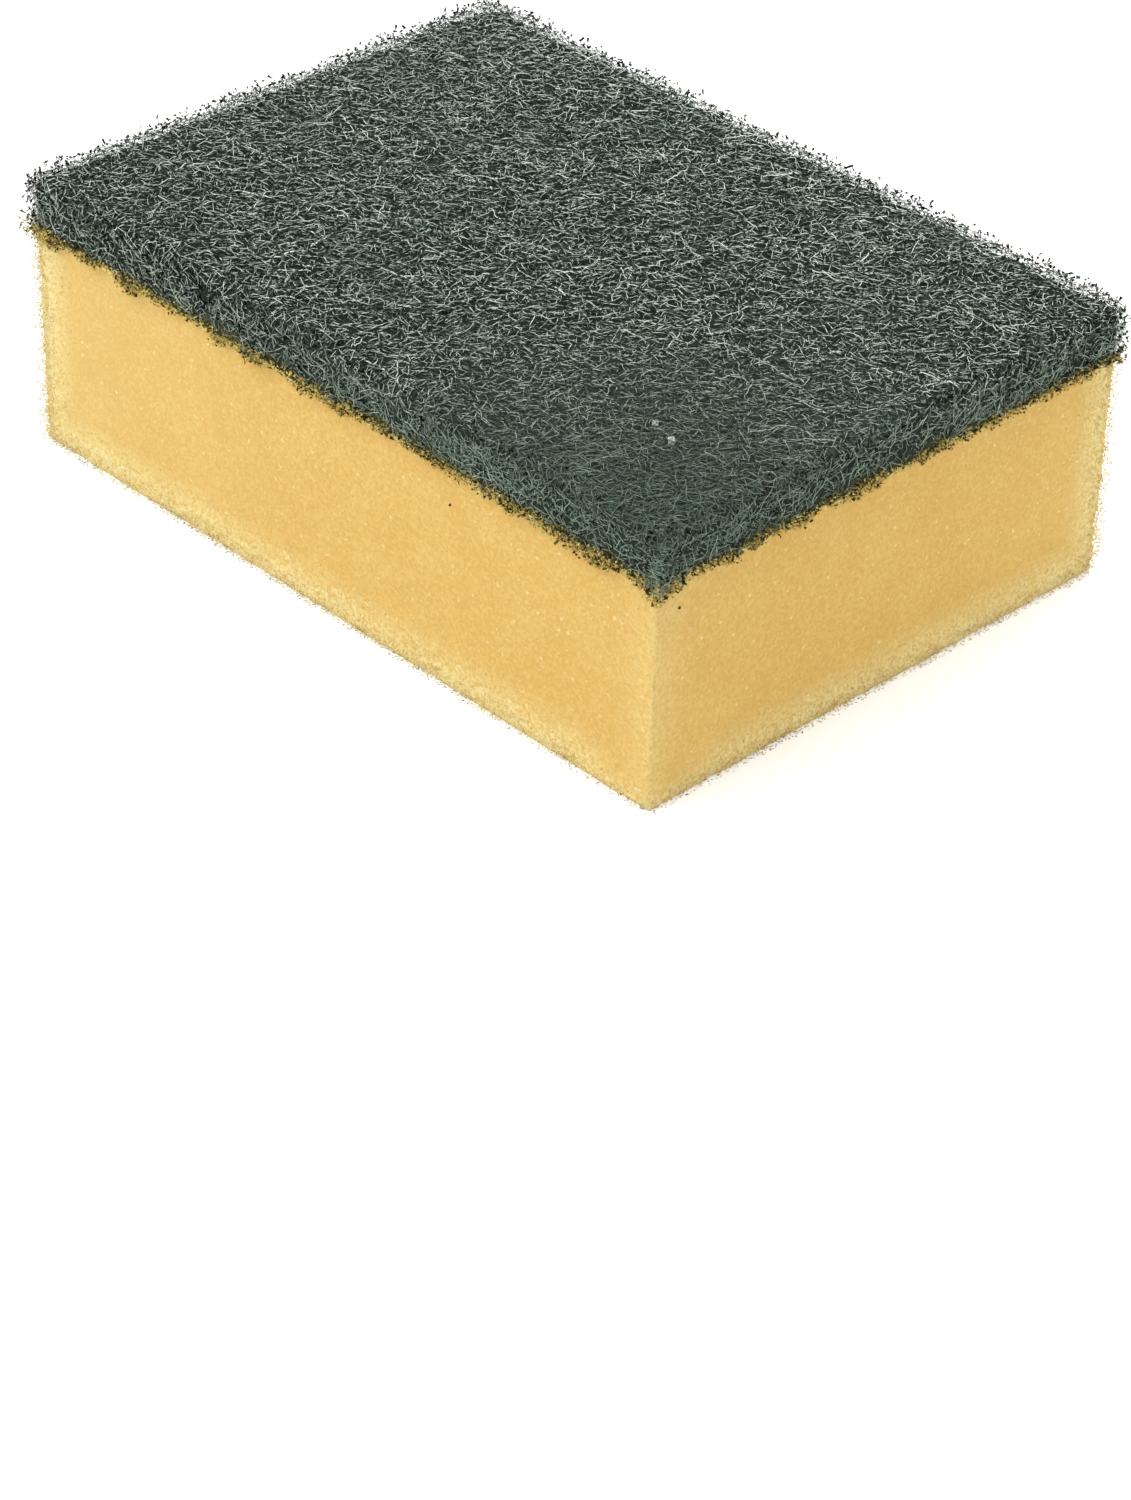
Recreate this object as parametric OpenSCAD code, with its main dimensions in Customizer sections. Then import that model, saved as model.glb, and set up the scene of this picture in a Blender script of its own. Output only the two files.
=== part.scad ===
// Cleaning sponge: a block of open-cell foam with an abrasive non-woven pad
// bonded over its whole top.
// Millimetres. Z is up, X runs along the sponge and Y across it. The origin is
// the middle of the foam's underside, which is the face the sponge stands on.

/* [Foam block] */
// Length of the foam block
foam_l = 100; // [70:1:160]
// Width of the foam block
foam_w = 70; // [45:1:110]
// Height of the foam block
foam_h = 27.2; // [12:0.1:60]
// Radius of the upright edges, where the saw leaves the foam soft
foam_upright_r = 1; // [0.4:0.1:4]
// Radius of the edges round the underside
foam_foot_r = 0.7; // [0.3:0.1:2]

/* [Bond film] */
// Thickness of the melted film that joins foam and pad
bond_t = 0.6; // [0.3:0.1:1.5]
// How far the film's edge lies inside the pad's edge
bond_inset = 0.4; // [0.1:0.1:1]

/* [Scouring pad] */
// Thickness of the pad above the film, at its edge
pad_t = 6.2; // [3:0.1:12]
// How far the pad stands past the foam on each side
pad_overhang = 0.6; // [0:0.05:1.5]
// Corner radius of the pad seen from above
pad_corner_r = 1.6; // [0.8:0.1:8]
// Radius at which the web rolls over from its top to its sides
pad_roll_r = 2; // [0.5:0.1:2.5]
// How much higher the middle of the pad is than its edge
pad_crown = 0.3; // [0:0.05:1.5]

/* [Slit edge] */
// Depth of the long waves that slitting leaves in the pad's edge
wave_depth = 0.25; // [0:0.01:0.4]
// Length of one long wave, near enough
wave_pitch = 17; // [8:0.5:40]
// Depth of the torn nicks that ride on the waves
nick_depth = 0.12; // [0:0.01:0.3]
// Length of one nick, near enough
nick_pitch = 6; // [4:0.5:12]

/* [Resolution] */
// Spacing of the points along the pad's edge
edge_step = 2.2; // [1.5:0.1:3]
// Points in each rounded corner of the pad
corner_points = 4; // [3:1:8]
// Steps in the roll-over at the top of the pad
roll_steps = 4; // [2:1:6]
// Rings across the crowned top of the pad
crown_rings = 5; // [2:1:8]

/* [Hidden] */

foam_colour = "#f0c873";
bond_colour = "#c99b2e";
pad_colour = "#4a5a56";

bond_z = foam_h;
pad_z = bond_z + bond_t;
top_z = pad_z + pad_t;

// Corner radius that is left where the roll-over has eaten the outline's own.
// It is more than the edge strays, so a corner never folds over itself.
least_corner_r = wave_depth + nick_depth + 0.1;
// Low hollows of the pressed web: their height, and the lengths of their waves
hollow_h = 0.1;
hollow_pitch = [31, 23];
// Where the long waves and the nicks start, as an angle, so that they differ
wave_start = 40;
nick_start = 110;

// ---- Outline of the pad's slit edge ----

// Whole number of waves nearest to one pitch, so that the edge closes on itself
function whole_waves(pitch) = max(1, round(2 * (foam_l + foam_w) / pitch));

// How far the slit edge strays outwards at a share u of the way round
function stray(u) =
    wave_depth * sin(360 * u * whole_waves(wave_pitch) + wave_start)
    + nick_depth * sin(360 * u * whole_waves(nick_pitch) + nick_start);

// Points on a straight side from p to q, p included and q left out. Their
// number comes from the foam's own side, so every outline has as many.
function side(p, q, foam_side) =
    let (n = round(foam_side / edge_step))
    [for (i = [0 : n - 1]) p + (q - p) * i / n];

// Points of a quarter turn round c, from angle a
function corner(c, r, a) =
    [for (i = [0 : corner_points - 1])
        let (t = a + 90 * i / corner_points)
        c + r * [cos(t), sin(t)]];

// Rounded rectangle of half size x by y, anticlockwise from its lower right
function rounded(x, y, r) =
    concat(
        corner([x - r, r - y], r, -90), side([x, r - y], [x, y - r], foam_w),
        corner([x - r, y - r], r, 0), side([x - r, y], [r - x, y], foam_l),
        corner([r - x, y - r], r, 90), side([-x, y - r], [-x, r - y], foam_w),
        corner([r - x, r - y], r, 180), side([r - x, -y], [x - r, -y], foam_l));

// Outward direction of an outline at point i, square to its two neighbours
function outward(pts, i) =
    let (n = len(pts), d = pts[(i + 1) % n] - pts[(i + n - 1) % n])
    [d[1], -d[0]] / norm(d);

// The pad's slit outline, drawn in by inset all round
function slit_outline(inset) =
    let (grow = pad_overhang - inset,
         r = max(pad_corner_r - inset, least_corner_r),
         pts = rounded(foam_l / 2 + grow, foam_w / 2 + grow, r),
         n = len(pts))
    [for (i = [0 : n - 1]) pts[i] + outward(pts, i) * stray(i / n)];

// ---- Lofting ----

// An outline as a ring at height z
function level(outline, z) = [for (p = outline) [p[0], p[1], z]];

// Rise of the pad's top at a share of the way out from its middle: the crown
// with the low hollows on it. Both fade out at the edge.
function rise(p, share) =
    let (hollows = sin(360 * p[0] / hollow_pitch[0]) + cos(360 * p[1] / hollow_pitch[1]))
    (1 - share * share) * (pad_crown + hollow_h * hollows);

// An outline shrunk to a share of its size, as a ring on the pad's top
function crowned(outline, share) =
    [for (p = outline * share) [p[0], p[1], top_z + rise(p, share)]];

// Closed solid through rings of equally many points, from the flat bottom ring
// up to a tip that closes the last one
module loft(rings, tip) {
    n = len(rings[0]);
    last = len(rings) - 1;
    polyhedron(
        points = concat([for (ring = rings) each ring], [tip]),
        faces = concat(
            [[for (i = [0 : n - 1]) i]],
            [for (k = [0 : last - 1], i = [0 : n - 1])
                let (j = (i + 1) % n, a = k * n, b = a + n)
                each [[a + i, b + i, b + j], [a + i, b + j, a + j]]],
            [for (i = [0 : n - 1]) [last * n + i, (last + 1) * n, last * n + (i + 1) % n]]),
        convexity = 4);
}

// ---- Sub-parts ----

// Upright rectangle with its two lower corners rounded, or all four
module sawn_section(w, h, r, all_round) {
    for (x = [r - w / 2, w / 2 - r], y = all_round ? [r, h - r] : [r])
        translate([x, y]) circle(r = r, $fn = 32);
    translate([r - w / 2, 0]) square([w - 2 * r, h]);
    translate([-w / 2, r]) square([w, all_round ? h - 2 * r : h - r]);
}

// Foam sawn square from the slab. Its upright edges and its foot are softened,
// and its top edge is left sharp where the film covers it.
module foam_block() {
    color(foam_colour)
        intersection() {
            translate([0, -foam_w / 2])
                linear_extrude(foam_h)
                    sawn_section(foam_l, foam_w, foam_upright_r, true);
            translate([0, foam_w / 2])
                rotate([90, 0, 0])
                    linear_extrude(foam_w)
                        sawn_section(foam_l, foam_h, foam_foot_r, false);
            translate([-foam_l / 2, 0])
                rotate([90, 0, 90])
                    linear_extrude(foam_l)
                        sawn_section(foam_w, foam_h, foam_foot_r, false);
        }
}

// Film of melted foam. It follows the pad's slit edge a little way inside it.
module bond_film() {
    color(bond_colour)
        translate([0, 0, bond_z])
            linear_extrude(bond_t)
                polygon(slit_outline(bond_inset));
}

// Needled web of abrasive fibre: a slit edge that rolls over into a crowned top
module scouring_pad() {
    shoulder_z = top_z - pad_roll_r;
    rolled = [for (k = [0 : roll_steps])
        let (t = 90 * k / roll_steps)
        level(slit_outline(pad_roll_r * (1 - cos(t))), shoulder_z + pad_roll_r * sin(t))];
    top_edge = slit_outline(pad_roll_r);
    across = [for (k = [1 : crown_rings - 1]) crowned(top_edge, 1 - k / crown_rings)];
    color(pad_colour)
        loft(
            concat([level(slit_outline(0), pad_z)], rolled, across),
            [0, 0, top_z + rise([0, 0], 0)]);
}

foam_block();
bond_film();
scouring_pad();
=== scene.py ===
"""Looks of a cleaning sponge: sawn open-cell foam, a film of melted foam and a scouring pad of loose fibres.

The frame gives each piece its place and size. Lengths are in metres, written as a number times MM.
"""

import math

import bmesh
import bpy
import numpy as np
from mathutils import Matrix, Vector, noise


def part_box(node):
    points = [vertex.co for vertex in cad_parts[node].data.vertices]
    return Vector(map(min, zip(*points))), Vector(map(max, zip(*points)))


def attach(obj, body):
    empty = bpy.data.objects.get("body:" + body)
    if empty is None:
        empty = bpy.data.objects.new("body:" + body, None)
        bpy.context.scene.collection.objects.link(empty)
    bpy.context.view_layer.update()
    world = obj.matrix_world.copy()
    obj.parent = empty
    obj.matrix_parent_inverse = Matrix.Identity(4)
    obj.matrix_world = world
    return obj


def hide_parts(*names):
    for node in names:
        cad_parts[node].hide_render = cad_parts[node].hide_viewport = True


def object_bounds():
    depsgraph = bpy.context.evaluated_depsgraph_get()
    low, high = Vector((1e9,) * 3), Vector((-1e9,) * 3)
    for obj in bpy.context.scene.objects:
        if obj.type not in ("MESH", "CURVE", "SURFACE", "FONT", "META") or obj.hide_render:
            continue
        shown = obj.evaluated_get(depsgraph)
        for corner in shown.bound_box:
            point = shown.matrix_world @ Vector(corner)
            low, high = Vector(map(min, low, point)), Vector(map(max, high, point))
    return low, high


bl_info = {
    "name": "Cleaning Sponge",
    "version": (1, 0, 0),
    "blender": (4, 5, 0),
    "location": "View3D > Sidebar > Sponge",
    "description": "Builds a two-sided cleaning sponge and a plain stage for it",
    "category": "Object",
}

MM = 0.001
BODY = "root"
HAIR = 1e-6  # a length that is too short to matter
MAP_NAME = "OFBake"  # the UV map that a bake keeps
MAP_MARGIN = 0.15  # the bare strip in each square of that map, as a share of the square

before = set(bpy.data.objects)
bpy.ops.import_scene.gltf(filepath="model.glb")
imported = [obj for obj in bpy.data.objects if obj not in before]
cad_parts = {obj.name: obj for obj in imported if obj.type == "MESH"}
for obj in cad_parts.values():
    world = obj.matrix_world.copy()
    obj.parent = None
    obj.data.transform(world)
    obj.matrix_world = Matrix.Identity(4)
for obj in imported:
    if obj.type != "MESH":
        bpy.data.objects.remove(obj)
CAD_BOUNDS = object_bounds()


# ---- Colours and properties ----


def linear(*steps):
    """A colour given in steps of 0 to 255 as it shows on a screen, as the linear numbers of sockets."""
    shares = [step / 255 for step in steps]
    return tuple(share / 12.92 if share <= 0.04045 else ((share + 0.055) / 1.055) ** 2.4 for share in shares)


def length(name, description, millimetres):
    return bpy.props.FloatProperty(
        name=name, description=description, default=millimetres * MM, min=0.0, precision=5,
        subtype="DISTANCE", unit="LENGTH",
    )


def number(name, description, default, low=0.0, high=1.0):
    return bpy.props.FloatProperty(name=name, description=description, default=default, min=low, max=high)


def angle(name, description, degrees):
    return bpy.props.FloatProperty(
        name=name, description=description, default=math.radians(degrees), subtype="ANGLE", unit="ROTATION"
    )


def colour(name, description, *steps):
    return bpy.props.FloatVectorProperty(
        name=name, description=description, default=linear(*steps), size=3, min=0.0, max=1.0, subtype="COLOR"
    )


class FoamSettings(bpy.types.PropertyGroup):
    """Sizes and colours of the foam block."""

    step: length("Grid step", "Spacing of the points on the foam's faces", 1.5)
    fine: length("Fine step", "Spacing of the points along the sawn edges", 0.4)
    cell: length("Cell size", "Width of one cell of the foam", 0.32)
    edge_r: length("Upright edge radius", "Rounding of the body under the walls of the upright edges", 0.4)
    foot_r: length("Foot edge radius", "Rounding of the body under the walls of the foot edges", 0.05)
    ruffle: length("Ruffle", "How far cut cells stand out of the sawn face", 0.05)
    sway: length("Sway", "How far the saw strayed over the length of a face", 0.14)
    rim_w: length("Rim width", "Width of the pale, torn strip along a sawn edge", 6.0)
    torn: length("Torn", "How far the foam is torn up along a sawn edge", 0.07)
    walls: number("Cut walls", "Cut walls of cells on each square millimetre of an edge", 42.0, high=200.0)
    wall_l: length("Wall length", "Length of a cut wall", 0.32)
    wall_w: length("Wall width", "Width of a cut wall at its root", 0.26)
    stray: length("Stray", "How far the outermost cut walls stand out of the edges", 1.1)
    body: colour("Body colour", "Colour of the foam", 241, 201, 115)
    # hollow: a darker foam colour, in faint broad blotches and on single cells at random, where it is painted
    # shade deep in the open cells.
    hollow: colour("Hollow colour", "Colour deep in the cells", 229, 178, 88)
    # glint: a painted highlight, on a few cells of the foam and, at random, on the cut walls.
    glint: colour("Glint colour", "Colour of the cell walls that catch the light", 255, 243, 190)
    # pale: painted light, the glow along the sawn edges where light shines through the thin foam; paler cells
    # and the paler far end take it too.
    pale: colour("Rim colour", "Colour along the sawn edges", 255, 237, 164)
    strut: colour("Strut colour", "Colour of the thickest cut walls", 252, 218, 142)


class BondSettings(bpy.types.PropertyGroup):
    """Sizes and colours of the melted film."""

    step: length("Grid step", "Spacing of the points round the film", 0.3)
    ragged: length("Raggedness", "How far the film's edge runs in and out", 0.35)
    grains: number("Grains", "Grains of melt on each square millimetre of the seam", 24.0, high=60.0)
    grain: length("Grain size", "Width of a large grain of melt", 0.46)
    amber: colour("Amber", "Colour of thick melt", 255, 226, 122)
    straw: colour("Straw", "Colour of thin melt", 255, 243, 165)
    olive: colour("Olive", "Colour of melt that has run between fibres", 46, 42, 18)


class WebSettings(bpy.types.PropertyGroup):
    """Sizes and colours of the scouring pad."""

    step: length("Grid step", "Spacing of the points on the pad's core", 0.95)
    core_near: length("Core inset near", "How far the dense core lies inside the two front sides", 0.45)
    core_far: length("Core inset far", "How far the dense core lies inside the two looser back sides", 1.0)
    core_top: length("Core depth", "How far the dense core lies under the pad's top", 0.8)
    roll: length("Roll radius", "Radius at which the fibres roll over the pad's edges", 1.3)
    fibre_r: length("Fibre radius", "Half the thickness of a fibre", 0.05)
    crimp: length("Crimp", "How far a fibre sways from a straight line", 0.5)
    crimp_l: length("Crimp length", "Length over which a fibre sways", 1.15)
    lay: angle("Lay", "Direction in which most fibres lie, counted from the pad's long side", 45.0)
    lay_spread: angle("Lay spread", "How far fibres turn out of that direction", 122.0)
    wander: length("Wander", "How far the pad's face rises and falls", 0.15)
    hollow: length("Hollow depth", "Depth of the small hollows in the pad's face", 0.45)
    droop: length("Droop", "How far the fibres of the sides hang down over the seam", 1.3)
    curl_l: length("Curl length", "Length of a bow of fibre that shows between its neighbours", 1.5)
    curl_w: length("Curl width", "Thickness of a bow of fibre", 0.09)
    billow: length("Billow", "How far the pad's sides and rim swell and sink", 0.4)
    tuft: length("Tuft", "How far the fibres hang down at the front corner", 0.8)
    # cut: painted light, a paler colour that lifts the shade of the pad's cut sides.
    cut: colour("Cut", "Colour of the fibres at the pad's cut sides", 176, 197, 178)
    matted: colour("Matted", "Colour of the fibres pressed together near the front corner", 113, 127, 113)
    # dark: painted shade, for fibres that lie deep, the core between them, the back sides and most loose
    # ends.
    dark: colour("Dark", "Colour of the fibres that lie deep or are thick with resin", 14, 20, 16)
    middle: colour("Middle", "Colour of most fibres", 68, 80, 70)
    # light: painted highlight, for the fibres that come up to the pad's face.
    light: colour("Light", "Colour of the palest fibres", 238, 249, 236)
    teal: colour("Teal", "Colour of the dyed patches", 84, 118, 108)
    stained: colour("Stained", "Colour of the fibres that melt has run up", 116, 108, 58)


class StageSettings(bpy.types.PropertyGroup):
    """The floor, the lamps and the camera."""

    floor: number("Floor", "How pale the grey of the floor is", 0.86)
    world: number("World", "Strength of the light from all round", 0.67, high=5.0)
    key: number("Key lamp", "Power of the large lamp over the left side, in watts", 3.85, high=100.0)
    fill: number("Fill lamp", "Power of the lamp on the right side, in watts", 0.02, high=100.0)
    back: number("Back lamp", "Power of the lamp over the far corner, in watts", 0.37, high=100.0)
    azimuth: angle("Azimuth", "Direction of the camera from the sponge, counted from its front", 45.26)
    elevation: angle("Elevation", "Height of the camera's view over the floor", 35.09)
    roll: angle("Roll", "How far the camera leans over", 1.84)
    distance: length("Distance", "From the camera to the point on the floor that it looks at", 436.1)
    aim_x: length("Aim back", "How far that point lies behind the front corner, along the sponge", 13.7)
    aim_y: length("Aim across", "How far that point lies behind the front corner, across the sponge", 1.3)
    lens: number("Lens", "Focal length of the camera, in millimetres", 99.64, low=10.0, high=500.0)


# ---- Node trees ----


class Graph:
    """Adds nodes to a tree. A capitalised keyword is an input, with _ for a space. Any other is a setting."""

    def __init__(self, tree):
        self.tree = tree

    def add(self, kind, *values, **named):
        node = self.tree.nodes.new(kind)
        inputs = dict(enumerate(values))
        for name, value in named.items():
            if name[0].isupper():
                inputs[name.replace("_", " ")] = value
            else:
                setattr(node, name, value)
        for name, value in inputs.items():
            self.feed(node, name, value)
        return node

    def feed(self, node, name, value):
        """Links the input to a socket, or sets it to a value. A colour of three numbers is made opaque."""
        socket = node.inputs[name] if isinstance(name, int) else shown(node.inputs, name)
        if isinstance(value, bpy.types.NodeSocket):
            self.tree.links.new(value, socket)
        else:
            socket.default_value = (*value, 1.0) if socket.type == "RGBA" and len(value) == 3 else value

    def first(self, kind, *values, **named):
        """The first output of a new node."""
        return self.add(kind, *values, **named).outputs[0]

    def geo(self, kind, *values, **named):
        """The first output of a new geometry node."""
        return self.first("GeometryNode" + kind, *values, **named)

    def maths(self, operation, *values):
        return self.first("ShaderNodeMath", *values, operation=operation)

    def times(self, *values):
        result = values[0]
        for value in values[1:]:
            result = self.maths("MULTIPLY", result, value)
        return result

    def line(self, value, slope, start):
        return self.maths("MULTIPLY_ADD", value, slope, start)

    def vectors(self, operation, *values):
        node = self.add("ShaderNodeVectorMath", *values, operation=operation)
        return next(s for s in node.outputs if s.enabled)

    def scaled(self, vector, factor):
        return self.first("ShaderNodeVectorMath", vector, Scale=factor, operation="SCALE")

    def combined(self, x, y, z):
        return self.first("ShaderNodeCombineXYZ", x, y, z)

    def parts(self, vector):
        return self.add("ShaderNodeSeparateXYZ", vector).outputs

    def random(self, low, high, seed, **own):
        node = self.add("FunctionNodeRandomValue", Min=low, Max=high, Seed=seed, **own, data_type="FLOAT")
        return shown(node.outputs, "Value")

    def either_way(self, most, seed):
        return self.random(self.times(most, -1.0), most, seed)

    def noise(self, vector, size, detail=0.0, output="Fac", **own):
        """Noise with lumps about size wide. W gives it a pattern of its own."""
        own.update(Vector=vector, Scale=self.maths("DIVIDE", 1.0, size), Detail=detail)
        node = self.add("ShaderNodeTexNoise", noise_dimensions="4D" if "W" in own else "3D", **own)
        return node.outputs[output]

    def ramped(self, factor, low, high, to_low=0.0, to_high=1.0):
        node = self.add(
            "ShaderNodeMapRange", Value=factor, From_Min=low, From_Max=high, To_Min=to_low, To_Max=to_high,
            interpolation_type="SMOOTHSTEP",
        )
        return node.outputs["Result"]

    def layered(self, base, *coats):
        """The base colour under coats, each a mask and a colour."""
        for mask, coat in coats:
            base = shown(self.add("ShaderNodeMix", mask, A=base, B=coat, data_type="RGBA").outputs, "Result")
        return base


def shown(sockets, name):
    """The socket of that name that the node shows, as some nodes hide others with the same name."""
    return next(s for s in sockets if s.enabled and s.name == name)


def declare(tree, in_out, sockets):
    """Gives a tree its sockets, from the names of those of each kind."""
    for kind, names in sockets.items():
        for name in names.split(", "):
            tree.interface.new_socket(name, in_out=in_out, socket_type="NodeSocket" + kind)


# ---- Geometry nodes: fibres ----

FIBRE_INPUTS = {
    "Geometry": "Skin",
    "Float": "Density, Length, Radius, Lay Spread, Crimp, Crimp Length, Depth Low, Depth High, Heave, "
    "Wander, Wander Length, Hollow, Hollow Length, Roll, Droop",
    "Vector": "Lay, Low, High",
    "Int": "Steps, Seed",
    "Material": "Material",
}
CURL_INPUTS = {
    "Geometry": "Skin",
    "Float": "Spacing, Density, Length, Width, Lay Spread, Lean, Depth Low, Depth High",
    "Vector": "Lay",
    "Int": "Seed",
    "Material": "Material",
}
BENDS = ((0.5, 5.0), (1.3, -7.0), (2.4, 3.0))  # how far the bows rise and sway, in their own widths


def begun(name, inputs):
    """A new geometry tree with its graph and its group inputs."""
    tree = bpy.data.node_groups.new(name, "GeometryNodeTree")
    declare(tree, "INPUT", inputs)
    declare(tree, "OUTPUT", {"Geometry": "Mesh"})
    g = Graph(tree)
    return tree, g, g.add("NodeGroupInput").outputs


def fibre_tree():
    """Strews crimped fibres over a skin and lays them round a box with rolled edges."""
    tree, g, given = begun("crimped_fibres", FIBRE_INPUTS)
    scatter = strewn(g, given, Density=given["Density"])
    rotation = turned(g, facing(g, given, scatter), 0.0, 0.0, spun(g, given, 1))
    reach = g.times(given["Length"], g.random(0.6, 1.3, 3))
    curves = straight_lines(g, scatter["Points"], rotation, reach, given["Steps"])
    fibre = g.geo("FieldOnDomain", Value=g.geo("InputIndex"), data_type="INT", domain="CURVE")
    laid, depth = laid_round(g, given, fibre)
    finish_tubes(g, given, g.geo("SetPosition", curves, Position=laid), fibre, depth)
    return tree


def curl_tree(rings):
    """Strews short curls over a skin, by its weight: the bows of fibre that show between their neighbours."""
    name = f"curls_{rings}"
    if name in bpy.data.node_groups:
        return bpy.data.node_groups[name]
    tree, g, given = begun(name, CURL_INPUTS)
    scatter = strewn(
        g, given, distribute_method="POISSON",
        Distance_Min=given["Spacing"], Density_Max=given["Density"], Density_Factor=named(g, "weight"),
    )
    depth = g.random(given["Depth Low"], given["Depth High"], 1)
    held = captured(g, scatter["Points"], Curl=g.geo("InputIndex"), Depth=depth)
    sunk = g.scaled(scatter["Normal"], g.times(held["Depth"], -1.0))
    points = g.geo("SetPosition", held["Geometry"], Offset=sunk)
    turn = (g.random(0.0, math.tau, 3), g.either_way(given["Lean"], 2), spun(g, given, 4))
    wide = g.times(given["Width"], g.random(0.7, 1.25, 6))
    placed = g.geo(
        "InstanceOnPoints",
        Points=points,
        Instance=bows(g, rings),
        Pick_Instance=True,
        Instance_Index=g.maths("FLOOR", g.random(0.0, len(BENDS) - 0.01, 7)),
        Rotation=turned(g, facing(g, given, scatter), *turn),
        Scale=g.combined(g.times(given["Length"], g.random(0.55, 1.3, 8)), wide, wide),
    )
    parts = g.parts(named(g, "spot", "FLOAT_VECTOR"))
    # No two corners of the ring are level when seen from this side, so each face has some width on the map.
    around = g.line(parts["Z"], 0.75, parts["Y"])
    flat = [g.line(value, 0.5, 0.35) for value in (parts["X"], around)]
    place = map_cell(g, held["Curl"], columns(g, points, "POINTCLOUD", "Point Count"), *flat)
    shade = g.random(0.0, 1.0, 9, ID=held["Curl"])
    finish_tree(g, given, g.geo("RealizeInstances", placed), place, shade, held["Depth"], ("spot", "weight"))
    return tree


def bows(g, rings):
    """Slim bows one unit long and wide, pointed at both ends, with different bends, for points to pick."""
    joined = g.add("GeometryNodeJoinGeometry")
    for bend, sway in BENDS:
        bow = g.geo("MeshUVSphere", Segments=3, Rings=rings, Radius=0.5)
        bow = g.geo("Transform", Geometry=bow, Rotation=(0.0, math.pi / 2, 0.0))
        position = g.geo("InputPosition")
        bow = stored(g, bow, "spot", position, "FLOAT_VECTOR")
        along = g.parts(position)["X"]
        rise = g.line(g.times(along, along), -4.0 * bend, bend)
        offset = g.combined(0.0, g.times(g.times(rise, along), sway / bend), rise)
        bow = g.geo("GeometryToInstance", g.geo("SetPosition", bow, Offset=offset))
        g.tree.links.new(bow, joined.inputs[0])
    return joined.outputs[0]


def strewn(g, given, **how):
    """Points strewn over the skin."""
    return g.add("GeometryNodeDistributePointsOnFaces", Mesh=given["Skin"], Seed=given["Seed"], **how).outputs


def facing(g, given, scatter):
    """The rotation that turns Z along the skin's normal and X along the lay."""
    axes = {"primary_axis": "Z", "secondary_axis": "X"}
    return g.first("FunctionNodeAxesToRotation", scatter["Normal"], given["Lay"], **axes)


def spun(g, given, seed):
    """A turn out of the lay. Two draws added together keep most fibres near it."""
    half = g.times(given["Lay Spread"], 0.5)
    return g.maths("ADD", g.either_way(half, seed), g.either_way(half, seed + 1))


def turned(g, rotation, x, y, z):
    """The rotation after turns about its own axes."""
    turn = g.first("FunctionNodeEulerToRotation", g.combined(x, y, z))
    return g.first("FunctionNodeRotateRotation", Rotation=rotation, Rotate_By=turn, rotation_space="LOCAL")


def named(g, name, kind="FLOAT"):
    """The values of an attribute of the geometry."""
    return g.geo("InputNamedAttribute", Name=name, data_type=kind)


def captured(g, geometry, **fields):
    """The geometry, and each field's values as they are on its points here."""
    node = g.add("GeometryNodeCaptureAttribute", domain="POINT")
    for name, value in fields.items():
        node.capture_items.new("VECTOR" if value.type == "VECTOR" else "FLOAT", name)
    for name, value in {"Geometry": geometry, **fields}.items():
        g.feed(node, name, value)
    return node.outputs


def straight_lines(g, points, rotation, reach, steps):
    """A straight line of so many points across each point, as long as its reach."""
    line = g.geo("CurvePrimitiveLine", Start=(-0.5, 0.0, 0.0), End=(0.5, 0.0, 0.0))
    line = g.geo("ResampleCurve", Curve=line, Count=steps)
    scale = g.combined(reach, 1.0, 1.0)
    placed = g.geo("InstanceOnPoints", Points=points, Instance=line, Rotation=rotation, Scale=scale)
    return g.geo("RealizeInstances", placed)


def swayed(g, position, most, size, own):
    """An offset of up to about most in any direction, which changes over size and from fibre to fibre."""
    sway = g.noise(position, size, 1.0, "Color", W=own)
    return g.scaled(g.vectors("SUBTRACT", sway, (0.5, 0.5, 0.5)), g.times(most, 2.0))


def laid_round(g, given, fibre):
    """Where each point of a fibre comes to lie, and how deep that is under the box's rolled surface."""
    position = g.geo("InputPosition")
    own = g.random(0.0, 1000.0, 4, ID=fibre)
    moved = g.vectors("ADD", position, swayed(g, position, given["Crimp"], given["Crimp Length"], own))

    heave = g.noise(position, given["Crimp Length"], W=g.maths("ADD", own, 500.0))
    wander = g.noise(position, given["Wander Length"], 1.0)
    depth = g.random(given["Depth Low"], given["Depth High"], 8, ID=fibre)
    for share, most in ((heave, given["Heave"]), (wander, given["Wander"])):
        depth = g.maths("ADD", depth, g.times(g.maths("SUBTRACT", share, 0.5), g.times(most, 2.0)))
    dip = g.ramped(g.noise(position, given["Hollow Length"]), 0.6, 0.8)
    depth = g.maths("ADD", depth, g.times(dip, given["Hollow"]))

    # The low side hangs down by a droop that varies along the seam.
    roll = given["Roll"]
    hang = g.maths("SUBTRACT", g.noise(position, 3.5 * MM, 2.0), 0.42)
    hang = g.times(hang, g.times(given["Droop"], 2.5))
    low = g.vectors("ADD", given["Low"], g.combined(roll, roll, g.maths("SUBTRACT", roll, hang)))
    high = g.vectors("SUBTRACT", given["High"], g.combined(roll, roll, roll))
    middle = g.vectors("MAXIMUM", g.vectors("MINIMUM", moved, high), low)
    out = g.vectors("NORMALIZE", g.vectors("SUBTRACT", moved, middle))
    return g.vectors("ADD", middle, g.scaled(out, g.maths("SUBTRACT", roll, depth))), depth


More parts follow.
